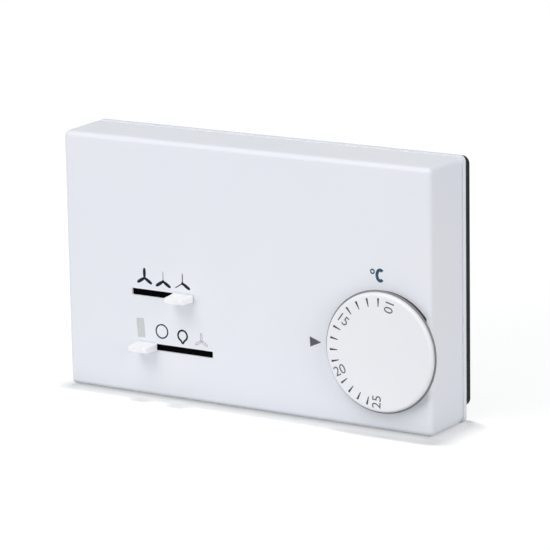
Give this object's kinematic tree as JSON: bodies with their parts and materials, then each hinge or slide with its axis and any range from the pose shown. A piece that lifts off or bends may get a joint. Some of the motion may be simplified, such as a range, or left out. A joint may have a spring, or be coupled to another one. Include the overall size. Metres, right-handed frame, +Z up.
{
  "type": "wall thermostat",
  "caption": "Wall thermostat for a fan coil: drafted white cover on a black base, with a temperature dial and slide switches for fan speed and mode.",
  "frame": {"origin": "centre of the case outline on the wall plane, at the back of the rear base", "axes": "+X to the right seen from the room, +Y into the wall, +Z up"},
  "size_m": [0.1631, 0.036, 0.1],
  "materials": {
    "cover_plastic": "satin moulded",
    "dial_plastic": "satin moulded",
    "knob_plastic": "satin moulded",
    "base_plastic": "fine eroded",
    "slider_plastic": "smooth",
    "switch_plastic": "smooth",
    "frame_plastic": "thermoset",
    "terminal_plastic": "smooth",
    "spindle_plastic": "smooth",
    "ring_plastic": "smooth",
    "board": "laminate",
    "capacitor_case": "smooth",
    "heater_body": "lacquered",
    "seal_rubber": "smooth",
    "trim_rubber": "smooth",
    "wire_sleeve": "smooth",
    "brass": "drawn",
    "zinc_steel": "zinc plated",
    "spring_steel": "drawn",
    "bimetal": "rolled",
    "silver_contact": "pressed",
    "magnet": "sintered"
  },
  "bodies": {
    "case": {"front_cover": "cover_plastic", "dial_seal": "seal_rubber", "rear_base": "base_plastic", "cover_screw": "zinc_steel", "circuit_board": "board", "board_screws": "zinc_steel", "terminal_block": "terminal_plastic", "terminal_screws": "zinc_steel", "terminal_clamps": "brass", "suppressor_capacitor": "capacitor_case", "fan_switch_body": "switch_plastic", "fan_switch_pins": "brass", "mode_switch_body": "switch_plastic", "mode_switch_pins": "brass", "thermostat_frame": "frame_plastic", "frame_screws": "zinc_steel", "spindle_bush": "brass", "pivot_pin": "brass", "pivot_clip": "spring_steel", "lever_spring": "spring_steel", "snap_magnet": "magnet", "heating_contact": "brass", "cooling_contact": "brass", "recall_heater": "heater_body", "lead_wires": "wire_sleeve"},
    "dial": {"temperature_dial": "dial_plastic", "dial_trim": "trim_rubber", "dial_spindle": "spindle_plastic", "setpoint_cam": "spindle_plastic", "lower_limit_ring": "ring_plastic", "upper_limit_ring": "ring_plastic", "spindle_clip": "spring_steel"},
    "lever": {"setpoint_lever": "zinc_steel", "follower_pin": "brass", "bimetal_rivet": "brass"},
    "bimetal": {"bimetal_strip": "bimetal", "moving_contact": "silver_contact", "armature": "zinc_steel"},
    "fan_slide": {"fan_slider": "slider_plastic", "fan_knob": "knob_plastic", "fan_detent_spring": "spring_steel", "fan_contact_bridge": "silver_contact"},
    "mode_slide": {"mode_slider": "slider_plastic", "mode_knob": "knob_plastic", "mode_detent_spring": "spring_steel", "mode_contact_bridge": "silver_contact"}
  },
  "joints": [
    {"name": "dial_turn", "type": "hinge", "parent": "case", "child": "dial", "pos_m": [0.0602, 0, -0.0192], "axis": [0, -1, 0], "range_deg": [-87, 104]},
    {"name": "lever_tilt", "type": "hinge", "parent": "case", "child": "lever", "pos_m": [0.0432, -0.0216, -0.0095], "axis": [0, -1, 0], "range_deg": [-1.6, 1.9], "deforming": ["lever_spring"]},
    {"name": "bimetal_flex", "type": "hinge", "parent": "lever", "child": "bimetal", "pos_m": [0.04375, -0.0167, 0.0005], "axis": [0, -1, 0], "range_deg": [-1, 1], "stiffness_Nm_per_rad": 0.05},
    {"name": "fan_speed_slide", "type": "slide", "parent": "case", "child": "fan_slide", "axis": [1, 0, 0], "range_m": [-0.0168, 0], "deforming": ["fan_detent_spring"]},
    {"name": "mode_select_slide", "type": "slide", "parent": "case", "child": "mode_slide", "axis": [1, 0, 0], "range_m": [0, 0.0252], "deforming": ["mode_detent_spring"]}
  ],
  "couplings": [
    {"joint": "lever_tilt", "follows": "dial_turn", "ratio": 0.017647}
  ]
}
